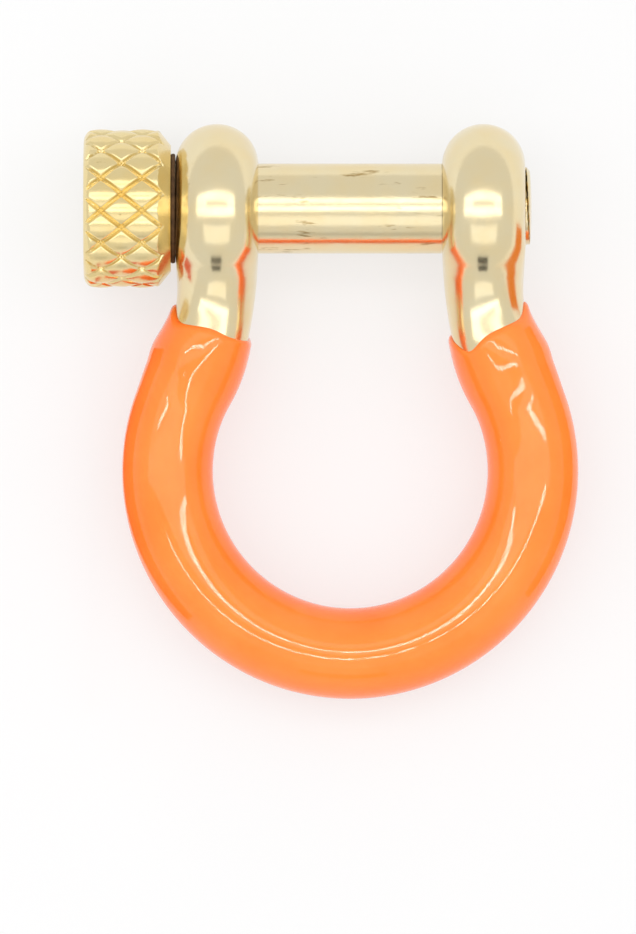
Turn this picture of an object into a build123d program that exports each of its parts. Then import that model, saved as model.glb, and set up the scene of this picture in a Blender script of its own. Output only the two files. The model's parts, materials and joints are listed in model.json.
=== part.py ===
"""Small bow shackle: a plated bow with two eyes, an enamel coat on the bow, and a knurled screw pin.

It is drawn lying in its own plane, with X along the pin, Y from the bow to the pin and the origin on the
pin's axis half way between the eyes. At the end every piece is tilted together, so that the shackle
lies on a table as it really does: on its two eyes and the crown of the bow. Millimetres throughout.
"""

from build123d import *
import math
import os

# Eyes: round, a hair off centre from their holes towards the bow
EYE_RADIUS = 4.85
EYE_OFFSET = 0.15
EYE_THICKNESS = 4.62
EYE_ROUNDING = 2.1
JAW_WIDTH = 10.2
EYE_X = (JAW_WIDTH + EYE_THICKNESS) / 2

# Arms: a waist below the eye, then a shoulder. Widths are across the drawing and depths square to it.
NECK_HALF_WIDTH = 2.15
NECK_HALF_DEPTH = 2.95
NECK_FILLET = 3.85
NECK_TAPER_START = 2.0
SHOULDER_HALF_DEPTH = 3.1
SHOULDER_START = 7.5
SHOULDER_END = 11.5

# Bow: an oval rod on a circle below the pin, joined to the arms by a wide reverse bend
ROD_HALF_WIDTH = 2.25
ROD_HALF_DEPTH = 2.7
BOW_RADIUS = 10.15
BOW_CENTRE_Y = -14.58
BEND_ANGLE = 28.5
LIMB_START = 1.0
LIMB_LENGTH = 12.5
LIMB_STEPS = 18

# Enamel coat
ENAMEL_THICKNESS = 0.28
SHOULDER_ENAMEL = 0.14
ENAMEL_END_OUTER = (9.8, -5.35)
ENAMEL_END_INNER = (5.5, -7.25)

# Screw pin
SHANK_RADIUS = 2.5
JOURNAL_RADIUS = 2.53
RUNNING_CLEARANCE = 0.05
THREAD_PITCH = 0.8
THREAD_CREST_RADIUS = 2.48
THREAD_ROOT_RADIUS = 2.0
THREAD_ROOT_WIDTH = 0.58
THREAD_CREST_WIDTH = 0.12
THREAD_EMBED = 0.15
TIP_REACH = 0.35
TIP_CHAMFER_LENGTH = 0.35
TIP_RADIUS = 2.15
TIP_DOME_HEIGHT = 0.14
SPIGOT_RADIUS = 1.75
SPIGOT_LENGTH = 3.6

# Washer under the head
WASHER_THICKNESS = 0.25
WASHER_RADIUS = 3.05

# Knurled head
HEAD_RADIUS = 4.4
HEAD_LENGTH = 4.83
HEAD_ROUNDING = 0.67
HEAD_CHAMFER_LENGTH = 0.72
HEAD_CHAMFER_DEPTH = 0.89
KNURL_COUNT = 14
KNURL_LENGTH = 2.28
KNURL_DEPTH = 0.18
KNURL_FLANK_ANGLE = 38
KNURL_ROOT = 0.15
KNURL_COLUMNS = 5
KNURL_CENTRE = 2.71
KNURL_TURN = 1.5

# Allowances for cutting and joining
SINK = 0.03
CUT_PAST = 1.0

# Places worked out from the sizes above
EYE_OUTER_X = EYE_X + EYE_THICKNESS / 2
JAW_HALF = JAW_WIDTH / 2
HEAD_FACE_X = -EYE_OUTER_X - WASHER_THICKNESS
TIP_X = EYE_OUTER_X + TIP_REACH
THREAD_START = JAW_HALF - THREAD_PITCH
THREAD_END = EYE_OUTER_X + THREAD_PITCH
COAT_HALF_WIDTH = ROD_HALF_WIDTH + ENAMEL_THICKNESS
COAT_HALF_DEPTH = ROD_HALF_DEPTH + ENAMEL_THICKNESS
BEND_RADIUS = (BOW_RADIUS * math.cos(math.radians(BEND_ANGLE)) - EYE_X) / (
    1 - math.cos(math.radians(BEND_ANGLE))
)
BEND_START = -BOW_CENTRE_Y - (BOW_RADIUS + BEND_RADIUS) * math.sin(math.radians(BEND_ANGLE))
BEND_END = BEND_START + BEND_RADIUS * math.radians(BEND_ANGLE)
CROWN_REACH = BOW_RADIUS - BOW_CENTRE_Y
LIE_ANGLE = math.degrees(math.asin((EYE_RADIUS - COAT_HALF_DEPTH) / (CROWN_REACH - EYE_OFFSET)))

# The waist's fillet touches the eye's circle at FILLET_START and is shallowest at NECK_DISTANCE
NECK_ANGLE = math.acos((NECK_HALF_DEPTH + NECK_FILLET) / (EYE_RADIUS + NECK_FILLET))
FILLET_START = EYE_OFFSET + EYE_RADIUS * math.sin(NECK_ANGLE)
NECK_DISTANCE = EYE_OFFSET + (EYE_RADIUS + NECK_FILLET) * math.sin(NECK_ANGLE)


def fade(distance, start, end):
    """Smooth fall from 1 at start to 0 at end."""
    share = min(max((distance - start) / (end - start), 0), 1)
    return 1 - share * share * (3 - 2 * share)


def limb_station(distance):
    """Point on the right limb's centre line, this far along it from the pin's axis, and its outward lean."""
    if distance < BEND_START:
        return Vector(EYE_X, -distance, 0), 0.0
    if distance < BEND_END:
        lean = (distance - BEND_START) / BEND_RADIUS
        hub = Vector(EYE_X + BEND_RADIUS, -BEND_START, 0)
        return hub - Vector(math.cos(lean), math.sin(lean), 0) * BEND_RADIUS, lean
    lean = math.radians(BEND_ANGLE) - (distance - BEND_END) / BOW_RADIUS
    hub = Vector(0, BOW_CENTRE_Y, 0)
    return hub + Vector(math.cos(lean), math.sin(lean), 0) * BOW_RADIUS, lean


def metal_size(distance):
    """Outward shift, half width and half depth of the metal limb: eye, waist, shoulder, then an oval rod.
    Inside the eye it stays SINK within the eye's own surface, so that the two cross cleanly.
    """
    half_width = (
        NECK_HALF_WIDTH
        + (EYE_THICKNESS / 2 - SINK - NECK_HALF_WIDTH) * fade(distance, NECK_TAPER_START, NECK_DISTANCE)
        + (ROD_HALF_WIDTH - NECK_HALF_WIDTH) * (1 - fade(distance, NECK_DISTANCE, SHOULDER_END))
    )
    if distance < FILLET_START:
        return 0, half_width, math.sqrt((EYE_RADIUS - SINK) ** 2 - (distance - EYE_OFFSET) ** 2)
    if distance < NECK_DISTANCE:
        drop = math.sqrt(NECK_FILLET**2 - (distance - NECK_DISTANCE) ** 2)
        return 0, half_width, NECK_HALF_DEPTH + NECK_FILLET - drop
    rise = (SHOULDER_HALF_DEPTH - NECK_HALF_DEPTH) * (1 - fade(distance, NECK_DISTANCE, SHOULDER_START))
    fall = (SHOULDER_HALF_DEPTH - ROD_HALF_DEPTH) * (1 - fade(distance, SHOULDER_START, SHOULDER_END))
    return 0, half_width, NECK_HALF_DEPTH + rise - fall


def coat_size(distance):
    """The same for the outside of the enamel, which is fuller at the shoulder."""
    extra = SHOULDER_ENAMEL * fade(distance, SHOULDER_START, SHOULDER_END)
    half_depth = metal_size(distance)[2] + ENAMEL_THICKNESS + extra / 2
    return extra, COAT_HALF_WIDTH + extra, half_depth


def limb(size, start):
    """Solid of the right limb from start to the bow, through elliptical sections square to its line."""
    faces = []
    for step in range(LIMB_STEPS + 1):
        distance = start + (LIMB_LENGTH - start) * step / LIMB_STEPS
        shift, half_width, half_depth = size(distance)
        point, lean = limb_station(distance)
        outward = Vector(math.cos(lean), math.sin(lean), 0)
        along = Vector(math.sin(lean), -math.cos(lean), 0)
        place = Plane(origin=point + outward * shift, x_dir=(0, 0, 1), z_dir=along)
        faces.append(place * Ellipse(half_depth, half_width))
    return loft(faces)


def both_sides(solid):
    """The solid and its mirror image on the other side of the jaw."""
    return [solid, mirror(solid, about=Plane.YZ)]


def whole_bow(size, start):
    """Oval rod along the bow's circle, with a limb at each end."""
    half_width, half_depth = size(LIMB_LENGTH)[1:]
    lean = math.degrees(limb_station(LIMB_LENGTH)[1])
    hub = Axis((0, BOW_CENTRE_Y, 0), (0, 0, 1))
    oval = Ellipse(half_depth, half_width).rotate(Axis.Z, 90)
    section = Plane.XZ.offset(-BOW_CENTRE_Y) * Pos(BOW_RADIUS, 0) * oval
    crown = revolve(section.rotate(hub, lean), hub, -180 - 2 * lean)
    return crown + both_sides(limb(size, start))


def along_x(radius, start, end):
    """Cylinder on the pin's axis from start to end."""
    return extrude(Plane.YZ.offset(start) * Circle(radius), end - start)


def threaded_rod(start, end, grow=0.0):
    """Rod with a right-hand thread on the pin's axis, every surface moved out by grow. Its ends are rough."""
    root = THREAD_ROOT_RADIUS + grow
    crest = THREAD_CREST_RADIUS + grow
    flank = (THREAD_ROOT_WIDTH - THREAD_CREST_WIDTH) / (THREAD_CREST_RADIUS - THREAD_ROOT_RADIUS)
    half_root = THREAD_ROOT_WIDTH / 2 + grow + flank * THREAD_EMBED / 2
    half_crest = THREAD_CREST_WIDTH / 2 + grow
    ridge = Polyline(
        (-THREAD_EMBED, -half_root),
        (crest - root, -half_crest),
        (crest - root, half_crest),
        (-THREAD_EMBED, half_root),
        close=True,
    )
    base = Plane(origin=(start, 0, 0), x_dir=(0, 1, 0), z_dir=(1, 0, 0))
    helix = base * Helix(THREAD_PITCH, end - start, root)
    section = Plane(origin=helix @ 0, x_dir=(0, 1, 0), z_dir=helix % 0) * make_face(ridge)
    return along_x(root, start - THREAD_PITCH, end + THREAD_PITCH) + sweep(section, helix, is_frenet=True)


def eye():
    """Round eye with deeply rounded rims, before its hole."""
    disc = along_x(EYE_RADIUS, JAW_HALF, EYE_OUTER_X)
    return Pos(0, -EYE_OFFSET, 0) * fillet(disc.edges(), EYE_ROUNDING)


def shackle_body():
    """Bow, arms and eyes in one casting. The left eye has a plain hole and the right eye is tapped."""
    body = whole_bow(metal_size, LIMB_START) + both_sides(eye())
    body -= along_x(JOURNAL_RADIUS + RUNNING_CLEARANCE, HEAD_FACE_X, -JAW_HALF + CUT_PAST)
    return body - threaded_rod(THREAD_START, THREAD_END, RUNNING_CLEARANCE)


def enamel_coat(metal):
    """Glossy coat round the bow, ending on each arm along a slant, lower on the inside of the arm."""
    coat = whole_bow(coat_size, NECK_DISTANCE - CUT_PAST)
    for side in (1, -1):
        outer = Vector(side * ENAMEL_END_OUTER[0], ENAMEL_END_OUTER[1], 0)
        inner = Vector(side * ENAMEL_END_INNER[0], ENAMEL_END_INNER[1], 0)
        reach = 2 * EYE_RADIUS
        slant = Plane(origin=(outer + inner) / 2, x_dir=(outer - inner) * side, z_dir=(0, 0, 1))
        coat -= slant * Box(reach, reach, reach, align=(Align.CENTER, Align.MIN, Align.CENTER))
    return coat - metal


def pin_shank():
    """Straight shank across the jaw and thread for the right eye, with a domed tip. In the left eye the
    shank swells a hair towards the head, for a snug fit, and beyond it a spigot carries the head.
    """
    dome_x = TIP_X - TIP_DOME_HEIGHT
    outline = Polyline(
        (THREAD_START, 0),
        (THREAD_START, SHANK_RADIUS),
        (dome_x - TIP_CHAMFER_LENGTH, SHANK_RADIUS),
        (dome_x, TIP_RADIUS),
    )
    dome = ThreePointArc((dome_x, TIP_RADIUS), (TIP_X - TIP_DOME_HEIGHT / 4, TIP_RADIUS / 2), (TIP_X, 0))
    axis_line = Line((TIP_X, 0), (THREAD_START, 0))
    envelope = revolve(make_face([outline, dome, axis_line]), Axis.X)
    threaded = threaded_rod(THREAD_START, THREAD_END) & envelope
    shank = along_x(SHANK_RADIUS, -JAW_HALF, JAW_HALF - RUNNING_CLEARANCE)
    swell = Polyline(
        (HEAD_FACE_X, 0),
        (HEAD_FACE_X, JOURNAL_RADIUS),
        (-JAW_HALF, SHANK_RADIUS),
        (-JAW_HALF, 0),
        close=True,
    )
    journal = revolve(make_face(swell), Axis.X)
    spigot = along_x(SPIGOT_RADIUS, HEAD_FACE_X - SPIGOT_LENGTH, HEAD_FACE_X)
    return shank + journal + spigot + threaded


def washer():
    """Thin flat washer between the head and the left eye."""
    ring = along_x(WASHER_RADIUS, HEAD_FACE_X, -EYE_OUTER_X)
    return ring - along_x(JOURNAL_RADIUS + RUNNING_CLEARANCE, HEAD_FACE_X, -EYE_OUTER_X)


def head_blank(shrink):
    """Turned blank of the head, with every outer surface moved in by shrink."""
    far = HEAD_FACE_X - HEAD_LENGTH
    radius = HEAD_RADIUS - shrink
    outline = Polyline(
        (far + HEAD_ROUNDING, radius),
        (HEAD_FACE_X - HEAD_CHAMFER_LENGTH, radius),
        (HEAD_FACE_X, HEAD_RADIUS - HEAD_CHAMFER_DEPTH - shrink),
        (HEAD_FACE_X, 0),
        (far, 0),
        (far, radius - HEAD_ROUNDING),
    )
    corner = RadiusArc(
        (far, radius - HEAD_ROUNDING),
        (far + HEAD_ROUNDING, radius),
        HEAD_ROUNDING,
    )
    return revolve(make_face([outline, corner]), Axis.X)


def knurl_pads():
    """Diamond pads in columns round the head, each with sloping flanks, before they are turned to size."""
    floor_radius = HEAD_RADIUS - KNURL_DEPTH
    half_long = KNURL_LENGTH / 2
    half_round = math.pi * floor_radius / KNURL_COUNT
    spread = KNURL_ROOT * math.tan(math.radians(KNURL_FLANK_ANGLE))
    root_scale = 1 + spread * math.hypot(half_long, half_round) / (half_long * half_round)
    corners = [(half_long, 0), (0, half_round), (-half_long, 0), (0, -half_round)]
    diamond = scale(Polygon(corners, align=None), root_scale)
    pad = extrude(diamond, KNURL_ROOT + 2 * KNURL_DEPTH, taper=KNURL_FLANK_ANGLE)
    pads = []
    for column in range(KNURL_COLUMNS):
        step = column - KNURL_COLUMNS // 2
        x = HEAD_FACE_X - KNURL_CENTRE + step * KNURL_LENGTH / 2
        for number in range(KNURL_COUNT):
            turn = KNURL_TURN + (number + (step % 2) / 2) * 360 / KNURL_COUNT
            pads.append(Rot(X=-turn) * Pos(x, 0, floor_radius - KNURL_ROOT) * pad)
    return pads


def knurled_head():
    """Pressed-on head: a core as deep as the knurl's grooves, with the diamonds standing on it."""
    pads = [pad & head_blank(0) for pad in knurl_pads()]
    head = head_blank(KNURL_DEPTH) + pads
    return head - along_x(SPIGOT_RADIUS, HEAD_FACE_X - SPIGOT_LENGTH, HEAD_FACE_X)


body = shackle_body()
pieces = {
    "shackle_body": body,
    "enamel_coat": enamel_coat(body),
    "pin_shank": pin_shank(),
    "knurled_head": knurled_head(),
    "washer": washer(),
}
os.makedirs("parts", exist_ok=True)
for name, piece in pieces.items():
    export_step(piece.rotate(Axis.X, LIE_ANGLE), f"parts/{name}.step")
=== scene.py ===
"""Looks of the bow shackle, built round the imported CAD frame.

Every piece is drawn as in the CAD source: flat in its own plane, with X along the pin, Y from the bow to
the pin, and the origin on the pin's axis half way between the eyes. new_piece() then tilts its mesh the
way the shackle lies.
"""
import json
import math

import bmesh
import bpy
import numpy as np
from mathutils import Matrix, Vector


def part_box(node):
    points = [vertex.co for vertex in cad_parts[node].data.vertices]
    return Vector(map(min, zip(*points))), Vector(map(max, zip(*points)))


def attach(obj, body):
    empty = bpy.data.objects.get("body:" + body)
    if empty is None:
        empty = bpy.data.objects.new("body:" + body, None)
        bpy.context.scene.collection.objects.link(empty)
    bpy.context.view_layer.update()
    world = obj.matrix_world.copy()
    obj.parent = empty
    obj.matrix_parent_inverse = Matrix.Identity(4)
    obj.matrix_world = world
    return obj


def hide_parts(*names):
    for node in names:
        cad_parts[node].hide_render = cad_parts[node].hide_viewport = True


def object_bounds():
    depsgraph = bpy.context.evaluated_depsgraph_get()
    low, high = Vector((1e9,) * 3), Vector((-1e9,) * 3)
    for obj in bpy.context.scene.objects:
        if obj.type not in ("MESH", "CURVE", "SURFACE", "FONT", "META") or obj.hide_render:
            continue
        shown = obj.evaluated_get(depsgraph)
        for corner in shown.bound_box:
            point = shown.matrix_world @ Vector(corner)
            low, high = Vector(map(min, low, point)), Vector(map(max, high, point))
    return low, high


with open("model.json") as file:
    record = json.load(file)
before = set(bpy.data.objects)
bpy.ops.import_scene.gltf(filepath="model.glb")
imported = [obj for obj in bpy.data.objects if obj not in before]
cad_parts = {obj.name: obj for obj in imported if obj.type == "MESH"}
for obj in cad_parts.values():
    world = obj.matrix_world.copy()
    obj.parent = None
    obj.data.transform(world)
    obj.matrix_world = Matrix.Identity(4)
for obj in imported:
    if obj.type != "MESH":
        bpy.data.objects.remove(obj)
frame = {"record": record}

CAD_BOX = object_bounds()
MM = 0.001

# The tilt at which the shackle lies, from the record
SADDLE = next(m for m in frame["record"]["mounts"] if m["name"] == "bow_saddle")
LIE_ANGLE = math.atan2(SADDLE["axis"][2], SADDLE["axis"][1])
LIE = Matrix.Rotation(LIE_ANGLE, 4, "X")

# Places read from the CAD frame, in metres
BODY_LOW, BODY_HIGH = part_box("shackle_body")
HEAD_LOW, HEAD_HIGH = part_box("knurled_head")
WASHER_LOW, WASHER_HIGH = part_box("washer")
PIN_TIP_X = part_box("pin_shank")[1].x
HEAD_FACE_X = HEAD_HIGH.x
EYE_OUTER_X = -WASHER_HIGH.x
EYE_RADIUS = (BODY_HIGH.z - BODY_LOW.z) / 2
HEAD_RADIUS = (HEAD_HIGH.z - HEAD_LOW.z) / 2

# Eyes and arms
EYE_OFFSET = 0.15 * MM
EYE_THICKNESS = 4.62 * MM
EYE_X = EYE_OUTER_X - EYE_THICKNESS / 2
JAW_HALF = EYE_OUTER_X - EYE_THICKNESS
NECK_HALF_WIDTH = 2.15 * MM
NECK_HALF_DEPTH = 2.95 * MM
NECK_FILLET = 3.85 * MM
NECK_TAPER_START = 2.0 * MM
SHOULDER_HALF_DEPTH = 3.1 * MM
SHOULDER_START = 7.5 * MM
SHOULDER_END = 11.5 * MM
# The waist: its distance from the pin's axis, how far it reaches each way, and how near to oval it is
WAIST = 4.7 * MM
WAIST_REACH = 2.6 * MM
WAIST_OVAL = 0.9

# Bow
ROD_HALF_WIDTH = 2.25 * MM
ROD_HALF_DEPTH = 2.7 * MM
BOW_RADIUS = 10.15 * MM
BOW_CENTRE_Y = -14.58 * MM
BEND_ANGLE = math.radians(28.5)
BEND_RADIUS = (BOW_RADIUS * math.cos(BEND_ANGLE) - EYE_X) / (1 - math.cos(BEND_ANGLE))
BEND_START = -BOW_CENTRE_Y - (BOW_RADIUS + BEND_RADIUS) * math.sin(BEND_ANGLE)
BEND_END = BEND_START + BEND_RADIUS * BEND_ANGLE
CROWN = BEND_END + BOW_RADIUS * (BEND_ANGLE + math.pi / 2)
NECK_ANGLE = math.acos((NECK_HALF_DEPTH + NECK_FILLET) / (EYE_RADIUS + NECK_FILLET))
FILLET_START = EYE_OFFSET + EYE_RADIUS * math.sin(NECK_ANGLE)
NECK_DISTANCE = EYE_OFFSET + (EYE_RADIUS + NECK_FILLET) * math.sin(NECK_ANGLE)

# Enamel
ENAMEL_THICKNESS = 0.28 * MM
SHOULDER_SHIFT = 0.16 * MM
SHOULDER_SWELL = 0.2 * MM
SWELL_START = 8.3 * MM
SHOULDER_ENAMEL = 0.1 * MM
LIP_THICKNESS = 0.13 * MM
LIP_LENGTH = 0.35 * MM
RISE_START = 4.6 * MM
RISE_END = 9.6 * MM
ENAMEL_SINK = 0.02 * MM
# Where the enamel starts: degrees round the arm, and mm along it from the pin's axis.
# 0 is outside, 90 on top, 180 inside and 270 below
ENAMEL_EDGE_RIGHT = [
    (0, 5.4), (18, 5.6), (52, 6.57), (96, 7.0), (119, 7.75), (138, 7.1), (164, 6.6), (270, 6.4),
]
ENAMEL_EDGE_LEFT = [
    (0, 5.6), (17, 5.8), (54, 6.85), (91, 6.68), (112, 6.95), (139, 6.9), (180, 6.74), (270, 6.5),
]
EDGE_SMOOTHING = 3
EDGE_WINDOW = (-2, -1, 0, 1, 2)

# Pin
SHANK_RADIUS = 2.5 * MM
JOURNAL_RADIUS = 2.53 * MM
RUNNING_CLEARANCE = 0.05 * MM
THREAD_PITCH = 0.8 * MM
THREAD_CREST_RADIUS = 2.48 * MM
THREAD_ROOT_RADIUS = 2.0 * MM
THREAD_ROOT_WIDTH = 0.58 * MM
THREAD_CREST_WIDTH = 0.12 * MM
THREAD_START = JAW_HALF - THREAD_PITCH
TIP_CHAMFER_LENGTH = 0.35 * MM
TIP_RADIUS = 2.15 * MM
TIP_DOME_HEIGHT = 0.14 * MM
SPIGOT_RADIUS = 1.75 * MM
SPIGOT_LENGTH = 3.6 * MM
EDGE_BREAK = 0.04 * MM

# Head
HEAD_ROUNDING = 0.67 * MM
HEAD_CHAMFER_LENGTH = 0.72 * MM
HEAD_CHAMFER_DEPTH = 0.89 * MM
KNURL_COUNT = 14
KNURL_LENGTH = 2.28 * MM
KNURL_CENTRE = 2.71 * MM
KNURL_TURN = math.radians(-2.5)
GROOVE_DEPTH = 0.16 * MM
GROOVE_HALF_WIDTH = 0.17 * MM
PAD_CROWN = 0.12 * MM

# Mesh density
ROUND = 144
HEAD_ROUND = 600
HEAD_ROWS = 96
EYE_ROWS = 44
ARM_STEP = 0.08 * MM
BOW_STEP = 0.25 * MM
COAT_ROWS = 150
COAT_INNER_ROWS = 50
# Above 1, the coat's rows crowd towards its edge
COAT_ROW_POWER = 1.6
TURN_ROWS = 16
FLAT_ROWS = 4
JOURNAL_ROWS = 8
CHAMFER_ROWS = 10
SHANK_ROWS = 40
THREAD_STEP = THREAD_PITCH / 16
SHARP_ANGLE = math.radians(38)


# ---------------------------------------------------------------- shapes

def fade(distance, start, end):
    """Smooth fall from 1 at start to 0 at end."""
    share = np.clip((distance - start) / (end - start), 0, 1)
    return 1 - share * share * (3 - 2 * share)


def limb_line(distance):
    """x, y and outward lean of the right limb's centre line, this far along it from the pin's axis."""
    bend = np.clip((distance - BEND_START) / BEND_RADIUS, 0, BEND_ANGLE)
    lean = np.where(distance < BEND_END, bend, BEND_ANGLE - (distance - BEND_END) / BOW_RADIUS)
    x = np.where(distance < BEND_END, EYE_X + BEND_RADIUS * (1 - np.cos(bend)), BOW_RADIUS * np.cos(lean))
    bend_y = -np.minimum(distance, BEND_START) - BEND_RADIUS * np.sin(bend)
    y = np.where(distance < BEND_END, bend_y, BOW_CENTRE_Y + BOW_RADIUS * np.sin(lean))
    return x, y, lean


def metal_size(distance):
    """Half width and half depth of the metal limb: eye, waist, shoulder, then the oval rod."""
    half_width = (
        NECK_HALF_WIDTH
        + (EYE_THICKNESS / 2 - NECK_HALF_WIDTH) * fade(distance, NECK_TAPER_START, NECK_DISTANCE)
        + (ROD_HALF_WIDTH - NECK_HALF_WIDTH) * (1 - fade(distance, NECK_DISTANCE, SHOULDER_END))
    )
    eye = np.sqrt(np.maximum(EYE_RADIUS**2 - (distance - EYE_OFFSET) ** 2, 0))
    drop = np.sqrt(np.maximum(NECK_FILLET**2 - (distance - NECK_DISTANCE) ** 2, 0))
    waist = NECK_HALF_DEPTH + NECK_FILLET - drop
    rise = (SHOULDER_HALF_DEPTH - NECK_HALF_DEPTH) * (1 - fade(distance, NECK_DISTANCE, SHOULDER_START))
    fall = (SHOULDER_HALF_DEPTH - ROD_HALF_DEPTH) * (1 - fade(distance, SHOULDER_START, SHOULDER_END))
    rod = NECK_HALF_DEPTH + rise - fall
    half_depth = np.where(distance < FILLET_START, eye, np.where(distance < NECK_DISTANCE, waist, rod))
    return half_width, half_depth


def slot_radius(half_width, half_depth, angle):
    """Middle to edge of a slot-shaped section with fully round ends, at this angle from its width."""
    flat = np.maximum(half_depth - half_width, 0)
    across = np.maximum(np.abs(np.cos(angle)), 1e-9)
    up = np.abs(np.sin(angle))
    side = half_width / across
    cap = flat * up + np.sqrt(np.maximum(half_width**2 - (flat * across) ** 2, 0))
    return np.where(side * up < flat, side, cap)


def oval_radius(half_width, half_depth, angle):
    """Middle to edge of an oval section, at this angle from its width."""
    return 1 / np.sqrt((np.cos(angle) / half_width) ** 2 + (np.sin(angle) / half_depth) ** 2)


def metal_radius(distance, angle):
    """Centre line to the metal's surface: a slot at the eye, nearly oval at the waist, oval in the bow."""
    half_width, half_depth = metal_size(distance)
    waist = WAIST_OVAL * fade(np.abs(distance - WAIST), 0, WAIST_REACH)
    slot_share = (1 - waist) * fade(distance, SHOULDER_START, SHOULDER_END)
    slot = slot_radius(half_width, half_depth, angle)
    return slot_share * slot + (1 - slot_share) * oval_radius(half_width, half_depth, angle)


def limb_points(distance, angle, radius, shift=0.0):
    """Points at this radius and angle round the right limb, with the section moved outward by shift."""
    x, y, lean = limb_line(distance)
    out = radius * np.cos(angle) + shift
    return np.stack([x + out * np.cos(lean), y + out * np.sin(lean), radius * np.sin(angle)], axis=-1)


def mirrored(points):
    """The same points on the other side of the jaw."""
    return points * np.array([-1.0, 1.0, 1.0])


def section_angles():
    return np.arange(ROUND) * 2 * math.pi / ROUND


def eye_rows():
    """Rings over the far half of the right eye, from its crest to the plane through its middle."""
    rows = []
    angle = section_angles()
    for row in range(1, EYE_ROWS):
        polar = row / EYE_ROWS * math.pi / 2
        x = math.sin(polar) * np.cos(angle)
        y = np.full(ROUND, math.cos(polar))
        z = math.sin(polar) * np.sin(angle)
        from_width = np.arctan2(np.hypot(y, z), np.abs(x))
        radius = slot_radius(EYE_THICKNESS / 2, EYE_RADIUS, from_width)
        rows.append(np.array([EYE_X, -EYE_OFFSET, 0]) + radius[:, None] * np.stack([x, y, z], axis=-1))
    return rows


def arm_rows():
    """Rings down the right limb from the middle of its eye to the crown, close together where they show."""
    shown = np.arange(EYE_OFFSET, SHOULDER_START, ARM_STEP)
    hidden = np.linspace(SHOULDER_START, CROWN, int((CROWN - SHOULDER_START) / BOW_STEP))
    angle = section_angles()
    return [limb_points(d, angle, metal_radius(d, angle)) for d in np.concatenate([shown, hidden])]


def grid_faces(rows, columns):
    """Quads of a grid whose rows are rings."""
    row = np.arange(rows - 1)[:, None] * columns
    column = np.arange(columns)[None, :]
    after = (column + 1) % columns
    quads = np.stack([row + column, row + after, row + columns + after, row + columns + column], axis=-1)
    return quads.reshape(-1, 4).tolist()


def fan(tip, first, columns):
    """Triangles from the vertex tip to the ring that starts at the vertex first."""
    return [(tip, first + i, first + (i + 1) % columns) for i in range(columns)]


def new_piece(name, vertices, faces):
    """Closed mesh object, laid down with the shackle, smooth apart from its sharp edges."""
    mesh = bpy.data.meshes.new(name)
    mesh.from_pydata([tuple(v) for v in vertices], [], faces)
    work = bmesh.new()
    work.from_mesh(mesh)
    bmesh.ops.recalc_face_normals(work, faces=work.faces)
    work.to_mesh(mesh)
    work.free()
    piece = bpy.data.objects.new(name, mesh)
    bpy.context.scene.collection.objects.link(piece)
    piece.data.transform(LIE)
    shade(piece)
    return piece


def shade(piece):
    piece.data.shade_smooth()
    piece.data.set_sharp_from_angle(angle=SHARP_ANGLE)


def closed_tube(name, rows, start_tip, end_tip):
    """Skin over rings, closed with a fan to a point at each end."""
    columns = len(rows[0])
    vertices = np.concatenate([*rows, [start_tip], [end_tip]])
    tips = len(rows) * columns
    faces = grid_faces(len(rows), columns)
    faces += fan(tips, 0, columns) + fan(tips + 1, tips - columns, columns)
    return new_piece(name, vertices, faces)


def closed_ring(name, rings):
    """Skin over rings that follow each other back to the first."""
    columns = len(rings[0])
    faces = grid_faces(len(rings), columns)
    last = (len(rings) - 1) * columns
    faces += [(last + i, last + (i + 1) % columns, (i + 1) % columns, i) for i in range(columns)]
    return new_piece(name, np.concatenate(rings), faces)


def cut(piece, cutter):
    """Takes the cutter out of the piece."""
    modifier = piece.modifiers.new("cut", "BOOLEAN")
    modifier.operation = "DIFFERENCE"
    modifier.solver = "EXACT"
    modifier.object = cutter
    bpy.context.view_layer.update()
    result = piece.evaluated_get(bpy.context.evaluated_depsgraph_get())
    mesh = bpy.data.meshes.new_from_object(result)
    piece.modifiers.clear()
    piece.data = mesh
    bpy.data.objects.remove(cutter)
    shade(piece)


def ring(x, radius, turn):
    """Points round the pin's axis. turn is the angle from +Y towards +Z."""
    return np.stack([np.full(len(turn), x), radius * np.cos(turn), radius * np.sin(turn)], axis=-1)


def turned(name, outline, columns, radius_at):
    """Body turned about the pin's axis. The outline's first and last points are on the axis.
    radius_at(x, radius, turn) changes the radius round it.
    """
    turn = np.arange(columns) * 2 * math.pi / columns
    rows = []
    for x, radius in outline[1:-1]:
        rows.append(ring(x, radius_at(x, np.full(columns, radius), turn), turn))
    return closed_tube(name, rows, (outline[0][0], 0, 0), (outline[-1][0], 0, 0))


def line(start, end, steps):
    """Evenly spaced points from start, not reaching end."""
    return [tuple(p) for p in np.linspace(start, end, steps, endpoint=False)]


def thread_radius(x, turn, grow):
    """Radius of the right-hand thread, with every surface moved out by grow."""
    half_root = THREAD_ROOT_WIDTH / 2 + grow
    half_crest = THREAD_CREST_WIDTH / 2 + grow
    pitches = (x - THREAD_START) / THREAD_PITCH - turn / (2 * math.pi)
    off_ridge = np.abs(pitches - np.round(pitches)) * THREAD_PITCH
    height = np.clip((half_root - off_ridge) / (half_root - half_crest), 0, 1)
    return THREAD_ROOT_RADIUS + grow + height * (THREAD_CREST_RADIUS - THREAD_ROOT_RADIUS)


# ---------------------------------------------------------------- pieces

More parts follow.
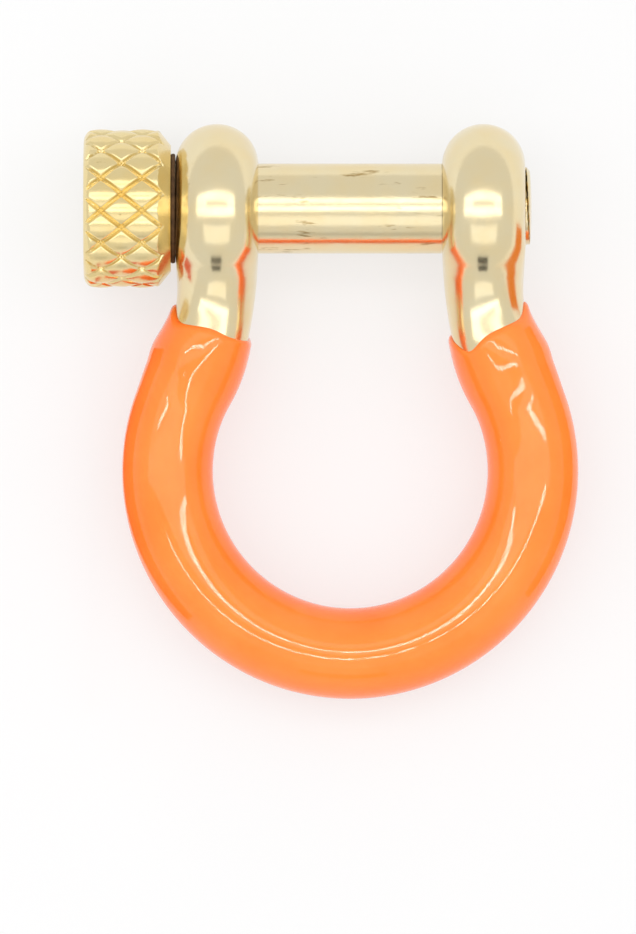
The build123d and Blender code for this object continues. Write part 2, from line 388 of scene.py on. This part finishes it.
def bore_cutter(name, low, high, radius_at):
    """Tool for an eye's hole, with its edges broken at both faces of the eye."""
    wide = JOURNAL_RADIUS + RUNNING_CLEARANCE + EDGE_BREAK
    past = EYE_THICKNESS / 2
    outline = [(low - past, 0), (low - past, wide)]
    outline += line((low - EDGE_BREAK, wide), (low + EDGE_BREAK, wide - 2 * EDGE_BREAK), FLAT_ROWS)
    outline += line((low + EDGE_BREAK, 0), (high - EDGE_BREAK, 0), int((high - low) / THREAD_STEP))
    outline += line((high - EDGE_BREAK, wide - 2 * EDGE_BREAK), (high + EDGE_BREAK, wide), FLAT_ROWS)
    outline += [(high + past, wide), (high + past, 0)]
    return turned(name, outline, ROUND, lambda x, radius, turn: np.maximum(radius, radius_at(x, turn)))


def plated_body():
    """Eyes, arms and the rod inside the enamel: one skin, with a plain and a tapped hole."""
    right = eye_rows() + arm_rows()
    left = [mirrored(row) for row in reversed(right[:-1])]
    crest = np.array([EYE_X, EYE_RADIUS - EYE_OFFSET, 0])
    body = closed_tube("plated_body", right + left, crest, mirrored(crest))

    def plain(x, turn):
        return np.full(len(turn), JOURNAL_RADIUS + RUNNING_CLEARANCE)

    def tapped(x, turn):
        return thread_radius(x, turn, RUNNING_CLEARANCE)

    cut(body, bore_cutter("plain_hole", -EYE_OUTER_X, -JAW_HALF, plain))
    cut(body, bore_cutter("tapped_hole", JAW_HALF, EYE_OUTER_X, tapped))
    return body


def edge_distance(edge):
    """Where the enamel starts along an arm at each section angle, with the outline's corners rounded."""
    angles, values = zip(*edge)
    turn = np.degrees(section_angles())
    start = np.interp(turn, angles, values, period=360) * MM
    for _ in range(EDGE_SMOOTHING):
        start = sum(np.roll(start, step) for step in EDGE_WINDOW) / len(EDGE_WINDOW)
    return start


def coat_points(distance, angle, from_edge):
    """Outer surface of the enamel: a rounded lip at its edge, thin there and thicker down the arm."""
    half_depth = metal_size(distance)[1]
    swell = fade(distance, SWELL_START, SHOULDER_END)
    coat_width = ROD_HALF_WIDTH + ENAMEL_THICKNESS + SHOULDER_SWELL * swell
    radius = oval_radius(coat_width, half_depth + ENAMEL_THICKNESS + SHOULDER_ENAMEL * swell, angle)
    metal = limb_points(distance, angle, metal_radius(distance, angle))
    full = limb_points(distance, angle, radius, SHOULDER_SHIFT * swell)
    thickness = np.linalg.norm(full - metal, axis=-1)
    thin = np.minimum(LIP_THICKNESS, thickness)
    risen = thin + (thickness - thin) * (1 - fade(distance, RISE_START, RISE_END))
    to_lip = 1 - np.clip(from_edge / LIP_LENGTH, 0, 1)
    return metal + (full - metal) * (risen * np.sqrt(1 - to_lip**2) / thickness)[:, None]


def enamel_half(edge):
    """Outer rings from the edge to the crown, and inner rings back, just inside the metal's surface."""
    angle = section_angles()
    start = edge_distance(edge)
    outer, inner = [], []
    for row in range(COAT_ROWS):
        share = (row / (COAT_ROWS - 1)) ** COAT_ROW_POWER
        distance = start + (CROWN - start) * share
        outer.append(coat_points(distance, angle, distance - start))
    for row in range(COAT_INNER_ROWS):
        distance = start + (CROWN - start) * row / (COAT_INNER_ROWS - 1)
        inner.append(limb_points(distance, angle, metal_radius(distance, angle) - ENAMEL_SINK))
    return outer, inner


def enamel():
    """The coat round the bow, a closed shell with its inner skin a hair inside the metal's surface."""
    outer_right, inner_right = enamel_half(ENAMEL_EDGE_RIGHT)
    outer_left, inner_left = enamel_half(ENAMEL_EDGE_LEFT)
    outer = outer_right + [mirrored(row) for row in reversed(outer_left[:-1])]
    inner = [mirrored(row) for row in inner_left[:-1]] + list(reversed(inner_right))
    return closed_ring("enamel", outer + inner)


def pin():
    """Shank, thread, domed tip, and the spigot inside the head."""
    dome_x = PIN_TIP_X - TIP_DOME_HEIGHT
    chamfer_x = dome_x - TIP_CHAMFER_LENGTH
    plain_end = JAW_HALF - EDGE_BREAK / 2
    outline = [(HEAD_FACE_X - SPIGOT_LENGTH, 0)]
    outline += line((HEAD_FACE_X - SPIGOT_LENGTH, SPIGOT_RADIUS), (HEAD_FACE_X, SPIGOT_RADIUS), FLAT_ROWS)
    outline += [(HEAD_FACE_X, SPIGOT_RADIUS)]
    outline += line((HEAD_FACE_X, JOURNAL_RADIUS), (-JAW_HALF, SHANK_RADIUS), JOURNAL_ROWS)
    outline += line((-JAW_HALF, SHANK_RADIUS), (plain_end, SHANK_RADIUS), SHANK_ROWS)
    outline += [(plain_end, SHANK_RADIUS)]
    thread_rows = int((chamfer_x - JAW_HALF) / THREAD_STEP)
    outline += line((JAW_HALF, SHANK_RADIUS), (chamfer_x, SHANK_RADIUS), thread_rows)
    outline += line((chamfer_x, SHANK_RADIUS), (dome_x, TIP_RADIUS), CHAMFER_ROWS)
    for row in range(TURN_ROWS):
        polar = row / TURN_ROWS * math.pi / 2
        outline.append((dome_x + TIP_DOME_HEIGHT * math.sin(polar), TIP_RADIUS * math.cos(polar)))
    outline.append((PIN_TIP_X, 0))

    def threaded(x, radius, turn):
        if x < JAW_HALF:
            return radius
        return np.minimum(radius, thread_radius(x, turn, 0.0))

    return turned("plated_pin", outline, ROUND, threaded)


def knurl_cut(x, turn):
    """How far the knurl lies under the head's full radius: two sets of grooves, with crowned pads."""
    along = (x - (HEAD_FACE_X - KNURL_CENTRE)) / KNURL_LENGTH
    from_top = math.pi / 2 - turn - KNURL_TURN
    around = from_top * KNURL_COUNT / (2 * math.pi)
    pad_width = 1 / math.hypot(1 / KNURL_LENGTH, KNURL_COUNT / (2 * math.pi * HEAD_RADIUS))
    depth, crown = [], 0.0
    for across in (along + around, along - around):
        from_pad = np.abs(across - np.round(across))
        to_groove = (0.5 - from_pad) * pad_width
        groove = np.clip(1 - to_groove / GROOVE_HALF_WIDTH, 0, 1)
        depth.append(groove * groove * (3 - 2 * groove))
        crown = crown + PAD_CROWN * (2 * from_pad) ** 2
    return crown + GROOVE_DEPTH * np.hypot(*depth)


def head():
    """Knurled head, with a chamfer towards the eye, a rounded far edge and a bore for the spigot."""
    far = HEAD_LOW.x
    outline = [(far, 0)]
    outline += line((far, HEAD_RADIUS / TURN_ROWS), (far, HEAD_RADIUS - HEAD_ROUNDING), TURN_ROWS)
    for row in range(TURN_ROWS):
        polar = row / TURN_ROWS * math.pi / 2
        outline.append((
            far + HEAD_ROUNDING * (1 - math.cos(polar)),
            HEAD_RADIUS - HEAD_ROUNDING * (1 - math.sin(polar)),
        ))
    chamfer_x = HEAD_FACE_X - HEAD_CHAMFER_LENGTH
    chamfer_radius = HEAD_RADIUS - HEAD_CHAMFER_DEPTH
    outline += line((far + HEAD_ROUNDING, HEAD_RADIUS), (chamfer_x, HEAD_RADIUS), HEAD_ROWS)
    outline += line((chamfer_x, HEAD_RADIUS), (HEAD_FACE_X, chamfer_radius), TURN_ROWS)
    outline += line((HEAD_FACE_X, chamfer_radius), (HEAD_FACE_X, SPIGOT_RADIUS), FLAT_ROWS)
    outline += [(HEAD_FACE_X, SPIGOT_RADIUS), (HEAD_FACE_X - SPIGOT_LENGTH, SPIGOT_RADIUS)]
    outline += [(HEAD_FACE_X - SPIGOT_LENGTH, 0)]

    def knurled(x, radius, turn):
        return np.minimum(radius, HEAD_RADIUS - knurl_cut(x, turn))

    return turned("plated_head", outline, HEAD_ROUND, knurled)


def washer():
    """Thin washer between the head and the left eye."""
    outer = (WASHER_HIGH.z - WASHER_LOW.z) / 2
    inner = JOURNAL_RADIUS + RUNNING_CLEARANCE
    bevel = (WASHER_HIGH.x - WASHER_LOW.x) / 4
    outline = [
        (WASHER_LOW.x, inner),
        (WASHER_LOW.x, outer - bevel),
        (WASHER_LOW.x + bevel, outer),
        (WASHER_HIGH.x - bevel, outer),
        (WASHER_HIGH.x, outer - bevel),
        (WASHER_HIGH.x, inner),
    ]
    return closed_ring("fibre_washer", [ring(x, radius, section_angles()) for x, radius in outline])


# ---------------------------------------------------------------- materials

PALE_GOLD = (0.82, 0.71, 0.46, 1)
WARM_GOLD = (0.84, 0.69, 0.40, 1)
HEAD_PALE_GOLD = (0.84, 0.70, 0.38, 1)
HEAD_WARM_GOLD = (0.85, 0.66, 0.30, 1)
STAINED = (0.5, 0.4, 0.24, 1)
DEEP_ORANGE = (0.92, 0.17, 0.022, 1)
BRIGHT_ORANGE = (0.94, 0.2, 0.034, 1)
DARK_FIBRE = (0.06, 0.028, 0.010, 1)
LIGHT_FIBRE = (0.16, 0.08, 0.03, 1)
TABLE_DARK = 0.295
TABLE_LIGHT = 0.305
ENAMEL_GLOSSY = 0.03
ENAMEL_DULL = 0.09
# How much rougher than its gloss a plating is where it is roughest
ROUGHER = 0.09
# Where a stain is full and where it ends, below and above its share of the noise
STAIN_CORE = 0.05
STAIN_EDGE = 0.04
UNEVEN_DEPTH = 0.02 * MM
PEEL_DEPTH = 0.03 * MM
FIBRE_DEPTH = 0.02 * MM


def new_material(name):
    """New material, its node tree and its Principled shader."""
    material = bpy.data.materials.new(name)
    material.use_nodes = True
    tree = material.node_tree
    return material, tree, tree.nodes["Principled BSDF"]


def node(tree, kind, inputs=None, **settings):
    """New node with its settings, and its inputs set to values or linked from sockets."""
    made = tree.nodes.new(kind)
    for key, value in settings.items():
        setattr(made, key, value)
    for key, value in (inputs or {}).items():
        if isinstance(value, bpy.types.NodeSocket):
            tree.links.new(value, made.inputs[key])
        else:
            made.inputs[key].default_value = value
    return made


def noise(tree, scale, detail, stretch=(1, 1, 1), roughness=0.5):
    """Noise over the piece's own space, with features of about 1 / scale metres."""
    place = node(tree, "ShaderNodeTexCoord").outputs["Object"]
    mapped = node(tree, "ShaderNodeMapping", {"Vector": place, "Scale": stretch}).outputs["Vector"]
    made = node(tree, "ShaderNodeTexNoise", {
        "Vector": mapped, "Scale": scale, "Detail": detail, "Roughness": roughness,
    })
    return made.outputs["Fac"]


def ramp(tree, factor, stops):
    """Colour ramp through (place, colour) stops."""
    made = node(tree, "ShaderNodeValToRGB", {"Fac": factor})
    elements = made.color_ramp.elements
    for (place, colour), element in zip(stops, list(elements)):
        element.position = place
        element.color = colour
    for place, colour in stops[2:]:
        elements.new(place).color = colour
    return made.outputs["Color"]


def grey(value):
    return (value, value, value, 1)


def plating(name, pale, warm, grain, gloss, stains, streak_depth):
    """Gold plating: a slightly uneven mirror with streaks, stains and a warmer tone in patches.
    gloss is its lowest roughness and grain stretches the streaks and stains. Where the noise is below
    stains, the plating is stained.
    """
    material, tree, shader = new_material(name)
    tone = ramp(tree, noise(tree, scale=450, detail=3), [(0.35, pale), (0.7, warm)])
    spots = noise(tree, scale=1500, detail=4, stretch=grain, roughness=0.65)
    stain = ramp(tree, spots, [(stains - STAIN_CORE, STAINED), (stains + STAIN_EDGE, grey(1))])
    layers = {"Factor": 1.0, "A": tone, "B": stain}
    colour = node(tree, "ShaderNodeMix", layers, data_type="RGBA", blend_type="MULTIPLY")
    tree.links.new(colour.outputs["Result"], shader.inputs["Base Color"])
    patches = noise(tree, scale=900, detail=5, roughness=0.7)
    rough = ramp(tree, patches, [(0.3, grey(gloss)), (0.75, grey(gloss + ROUGHER))])
    tree.links.new(rough, shader.inputs["Roughness"])
    uneven = noise(tree, scale=700, detail=2)
    lines = noise(tree, scale=1100, detail=5, stretch=grain, roughness=0.7)
    first = node(tree, "ShaderNodeBump", {"Height": uneven, "Strength": 0.4, "Distance": UNEVEN_DEPTH})
    second = node(tree, "ShaderNodeBump", {
        "Height": lines, "Strength": 0.5, "Distance": streak_depth, "Normal": first.outputs["Normal"],
    })
    tree.links.new(second.outputs["Normal"], shader.inputs["Normal"])
    shader.inputs["Metallic"].default_value = 1.0
    return material


def enamel_material():
    """Thick glossy orange enamel, with a faint mottle in its colour and gloss and a soft orange peel."""
    material, tree, shader = new_material("orange_enamel")
    tone = ramp(tree, noise(tree, scale=260, detail=4), [(0.3, DEEP_ORANGE), (0.7, BRIGHT_ORANGE)])
    tree.links.new(tone, shader.inputs["Base Color"])
    patches = noise(tree, scale=1200, detail=4)
    rough = ramp(tree, patches, [(0.35, grey(ENAMEL_GLOSSY)), (0.8, grey(ENAMEL_DULL))])
    tree.links.new(rough, shader.inputs["Roughness"])
    waves = noise(tree, scale=420, detail=1)
    peel = node(tree, "ShaderNodeBump", {"Height": waves, "Strength": 0.25, "Distance": PEEL_DEPTH})
    tree.links.new(peel.outputs["Normal"], shader.inputs["Normal"])
    shader.inputs["Subsurface Weight"].default_value = 0.15
    shader.inputs["Subsurface Radius"].default_value = (1.0, 0.35, 0.12)
    shader.inputs["Subsurface Scale"].default_value = 0.4 * MM
    shader.inputs["Specular IOR Level"].default_value = 0.35
    return material


def fibre_material():
    """Dark brown fibre of the washer."""
    material, tree, shader = new_material("brown_fibre")
    tone = ramp(tree, noise(tree, scale=2500, detail=5), [(0.3, DARK_FIBRE), (0.7, LIGHT_FIBRE)])
    tree.links.new(tone, shader.inputs["Base Color"])
    nap = noise(tree, scale=6000, detail=3)
    bump = node(tree, "ShaderNodeBump", {"Height": nap, "Strength": 0.5, "Distance": FIBRE_DEPTH})
    tree.links.new(bump.outputs["Normal"], shader.inputs["Normal"])
    shader.inputs["Roughness"].default_value = 0.75
    return material


def add_piece(piece, material, body, cad_node):
    """Gives a new piece its material and ties it to the CAD model."""
    piece.data.materials.clear()
    piece.data.materials.append(material)
    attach(piece, body)
    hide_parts(cad_node)


# ---------------------------------------------------------------- studio

# Places and sizes in metres, in the shackle's own plane and above it
LIGHT_HEIGHT = 0.45
# Soft panels overhead: x range, y range, strength. The first four frame a dimmer gap
PANELS = [
    (-0.70, 0.56, 0.103, 0.222, 2.0),
    (-0.70, -0.25, 0.047, 0.103, 1.7),
    (0.25, 0.56, 0.047, 0.103, 1.7),
    (-0.70, 0.56, -0.057, 0.047, 2.2),
    (-0.36, 0.36, -0.45, -0.163, 1.25),
]
# Two rows of small lamps overhead, each along its own bent line
LAMP_ROWS = [
    [(-0.41, 0.078), (-0.24, 0.082), (-0.03, 0.03), (0, 0.008), (0.08, 0.03), (0.28, 0.054), (0.46, 0.066)],
    [(-0.27, -0.123), (-0.15, -0.184), (-0.03, -0.158), (0.1, -0.11), (0.25, -0.063), (0.36, -0.05)],
]
LAMP_LENGTH = 0.013
LAMP_WIDTH = 0.026
LAMP_PITCH = 0.022
# How far the lamps hang below the panels
LAMP_DROP = 0.013
LAMP_STRENGTH = 24.0
SURROUND = 0.84
# Dark card beyond the bow: x range, z range, and its y
CARD = (-0.11, 0.08, 0.116, 0.2175)
CARD_Y = -0.45
CARD_STRENGTH = 0.1
FILL_GAP = 0.004
FILL_STRENGTH = 0.5
TINT_STRENGTH = 1.0
# Tinted cards beside the arms: name, (x, y range, z range), colour
TINTS = [
    ("tint_right", (0.019, -0.028, -0.002, -0.0045, 0.0018), (0.9, 0.27, 0.05, 1)),
    ("tint_left", (-0.0145, -0.028, -0.0065, -0.0045, 0.0012), (0.8, 0.14, 0.08, 1)),
]
CAMERA_HEIGHT = 1.0
PICTURE_HEIGHT = 51.9 * MM
CAMERA_OFFSET = Vector((-0.73, -3.15, 0)) * MM
SENSOR = 36.0
FLOOR_HALF = 3.0
# The table's own glow keeps the shadows on it faint
TABLE_GLOW = 0.62


def glow(name, quads, strength, colour=(1, 1, 1, 1), see_through=False):
    """Glowing quads, hidden from the camera. Each is four corners."""
    mesh = bpy.data.meshes.new(name)
    corners = [c for quad in quads for c in quad]
    mesh.from_pydata(corners, [], [tuple(range(i, i + 4)) for i in range(0, len(corners), 4)])
    mesh.transform(LIE)
    material = bpy.data.materials.new(name)
    material.use_nodes = True
    tree = material.node_tree
    tree.nodes.clear()
    surface = node(tree, "ShaderNodeEmission", {"Color": colour, "Strength": strength}).outputs["Emission"]
    if see_through:
        clear = node(tree, "ShaderNodeBsdfTransparent").outputs["BSDF"]
        both = tree.nodes.new("ShaderNodeAddShader")
        tree.links.new(surface, both.inputs[0])
        tree.links.new(clear, both.inputs[1])
        surface = both.outputs["Shader"]
    output = node(tree, "ShaderNodeOutputMaterial")
    tree.links.new(surface, output.inputs["Surface"])
    mesh.materials.append(material)
    made = bpy.data.objects.new(name, mesh)
    bpy.context.scene.collection.objects.link(made)
    made.visible_camera = False
    return made


def level_quad(x_low, x_high, y_low, y_high, z):
    return [(x_low, y_low, z), (x_high, y_low, z), (x_high, y_high, z), (x_low, y_high, z)]


def lamp_quads():
    """Small lamps laid evenly along their rows, each square to its row."""
    quads = []
    for row in LAMP_ROWS:
        corners = np.array(row)
        lengths = np.hypot(*np.diff(corners, axis=0).T)
        along = np.concatenate([[0], np.cumsum(lengths)])
        for place in np.arange(0, along[-1], LAMP_PITCH):
            run = min(np.searchsorted(along, place, side="right"), len(lengths)) - 1
            way = (corners[run + 1] - corners[run]) / lengths[run]
            middle = corners[run] + way * (place - along[run])
            half = way * LAMP_LENGTH / 2
            side = np.array([-way[1], way[0]]) * LAMP_WIDTH / 2
            ends = (middle - half - side, middle + half - side, middle + half + side, middle - half + side)
            quads.append([(x, y, LIGHT_HEIGHT - LAMP_DROP) for x, y in ends])
    return quads


def side_quad(x, y_low, y_high, z_low, z_high):
    return [(x, y_low, z_low), (x, y_high, z_low), (x, y_high, z_high), (x, y_low, z_high)]


def front_quad(y, x_low, x_high, z_low, z_high):
    return [(x_low, y, z_low), (x_high, y, z_low), (x_high, y, z_high), (x_low, y, z_high)]


def light_only(lamp, pieces):
    """Makes a glowing object light only these pieces."""
    lit = bpy.data.collections.new("lit_by_" + lamp.name)
    for piece in pieces:
        lit.objects.link(piece)
    lamp.light_linking.receiver_collection = lit


def studio(coat, turned_pieces):
    """White surroundings and soft panels overhead. Rows of small lamps light only the enamel. A dark card
    shows in the body and is filled in for the pin and head, and two tinted cards stand beside the arms.
    """
    world = bpy.data.worlds.new("surround")
    world.use_nodes = True
    background = world.node_tree.nodes["Background"]
    background.inputs["Color"].default_value = (1, 1, 1, 1)
    background.inputs["Strength"].default_value = SURROUND
    bpy.context.scene.world = world
    for number, (x_low, x_high, y_low, y_high, strength) in enumerate(PANELS):
        glow(f"panel_{number}", [level_quad(x_low, x_high, y_low, y_high, LIGHT_HEIGHT)], strength)
    lamps = glow("lamps", lamp_quads(), LAMP_STRENGTH, see_through=True)
    light_only(lamps, [coat])
    card = glow("dark_card", [front_quad(CARD_Y, *CARD)], CARD_STRENGTH)
    fill = glow("card_fill", [front_quad(CARD_Y + FILL_GAP, *CARD)], FILL_STRENGTH, see_through=True)
    light_only(fill, turned_pieces)
    tints = [glow(name, [side_quad(*place)], TINT_STRENGTH, colour) for name, place, colour in TINTS]
    for shiny_only in (card, fill, *tints):
        shiny_only.visible_diffuse = False
        shiny_only.visible_shadow = False


def floor():
    """Plain white table top under the shackle."""
    corners = level_quad(-FLOOR_HALF, FLOOR_HALF, -FLOOR_HALF, FLOOR_HALF, CAD_BOX[0].z)
    mesh = bpy.data.meshes.new("table")
    mesh.from_pydata(corners, [], [(0, 1, 2, 3)])
    material, tree, shader = new_material("table")
    tone = ramp(tree, noise(tree, scale=40, detail=3), [(0.3, grey(TABLE_DARK)), (0.7, grey(TABLE_LIGHT))])
    tree.links.new(tone, shader.inputs["Base Color"])
    shader.inputs["Roughness"].default_value = 0.6
    shader.inputs["Emission Color"].default_value = (1, 1, 1, 1)
    shader.inputs["Emission Strength"].default_value = TABLE_GLOW
    mesh.materials.append(material)
    table = bpy.data.objects.new("table", mesh)
    bpy.context.scene.collection.objects.link(table)


def camera():
    """Camera square to the shackle's own plane, over the middle of the picture."""
    low, high = CAD_BOX
    aim = (low + high) / 2
    data = bpy.data.cameras.new("camera")
    data.lens = SENSOR * CAMERA_HEIGHT / PICTURE_HEIGHT
    data.sensor_width = SENSOR
    made = bpy.data.objects.new("camera", data)
    bpy.context.scene.collection.objects.link(made)
    place = LIE.inverted() @ aim + CAMERA_OFFSET
    place.z = CAMERA_HEIGHT
    made.matrix_world = LIE @ Matrix.Translation(place)
    bpy.context.scene.camera = made


# ---------------------------------------------------------------- the whole

body_metal = plating(
    "pale_gold", PALE_GOLD, WARM_GOLD,
    grain=(1, 1, 1), gloss=0.14, stains=0.24, streak_depth=0.008 * MM,
)
pin_metal = plating(
    "pin_gold", PALE_GOLD, WARM_GOLD,
    grain=(0.22, 1, 1), gloss=0.14, stains=0.36, streak_depth=0.02 * MM,
)
head_metal = plating(
    "head_gold", HEAD_PALE_GOLD, HEAD_WARM_GOLD,
    grain=(1, 1, 1), gloss=0.18, stains=0.29, streak_depth=0.015 * MM,
)
add_piece(plated_body(), body_metal, "shackle", "shackle_body")
coat = enamel()
add_piece(coat, enamel_material(), "shackle", "enamel_coat")
shank, knob = pin(), head()
add_piece(shank, pin_metal, "screw_pin", "pin_shank")
add_piece(knob, head_metal, "screw_pin", "knurled_head")
add_piece(washer(), fibre_material(), "pin_carriage", "washer")
studio(coat, [shank, knob])
floor()
camera()
bpy.context.scene.view_settings.view_transform = "Standard"
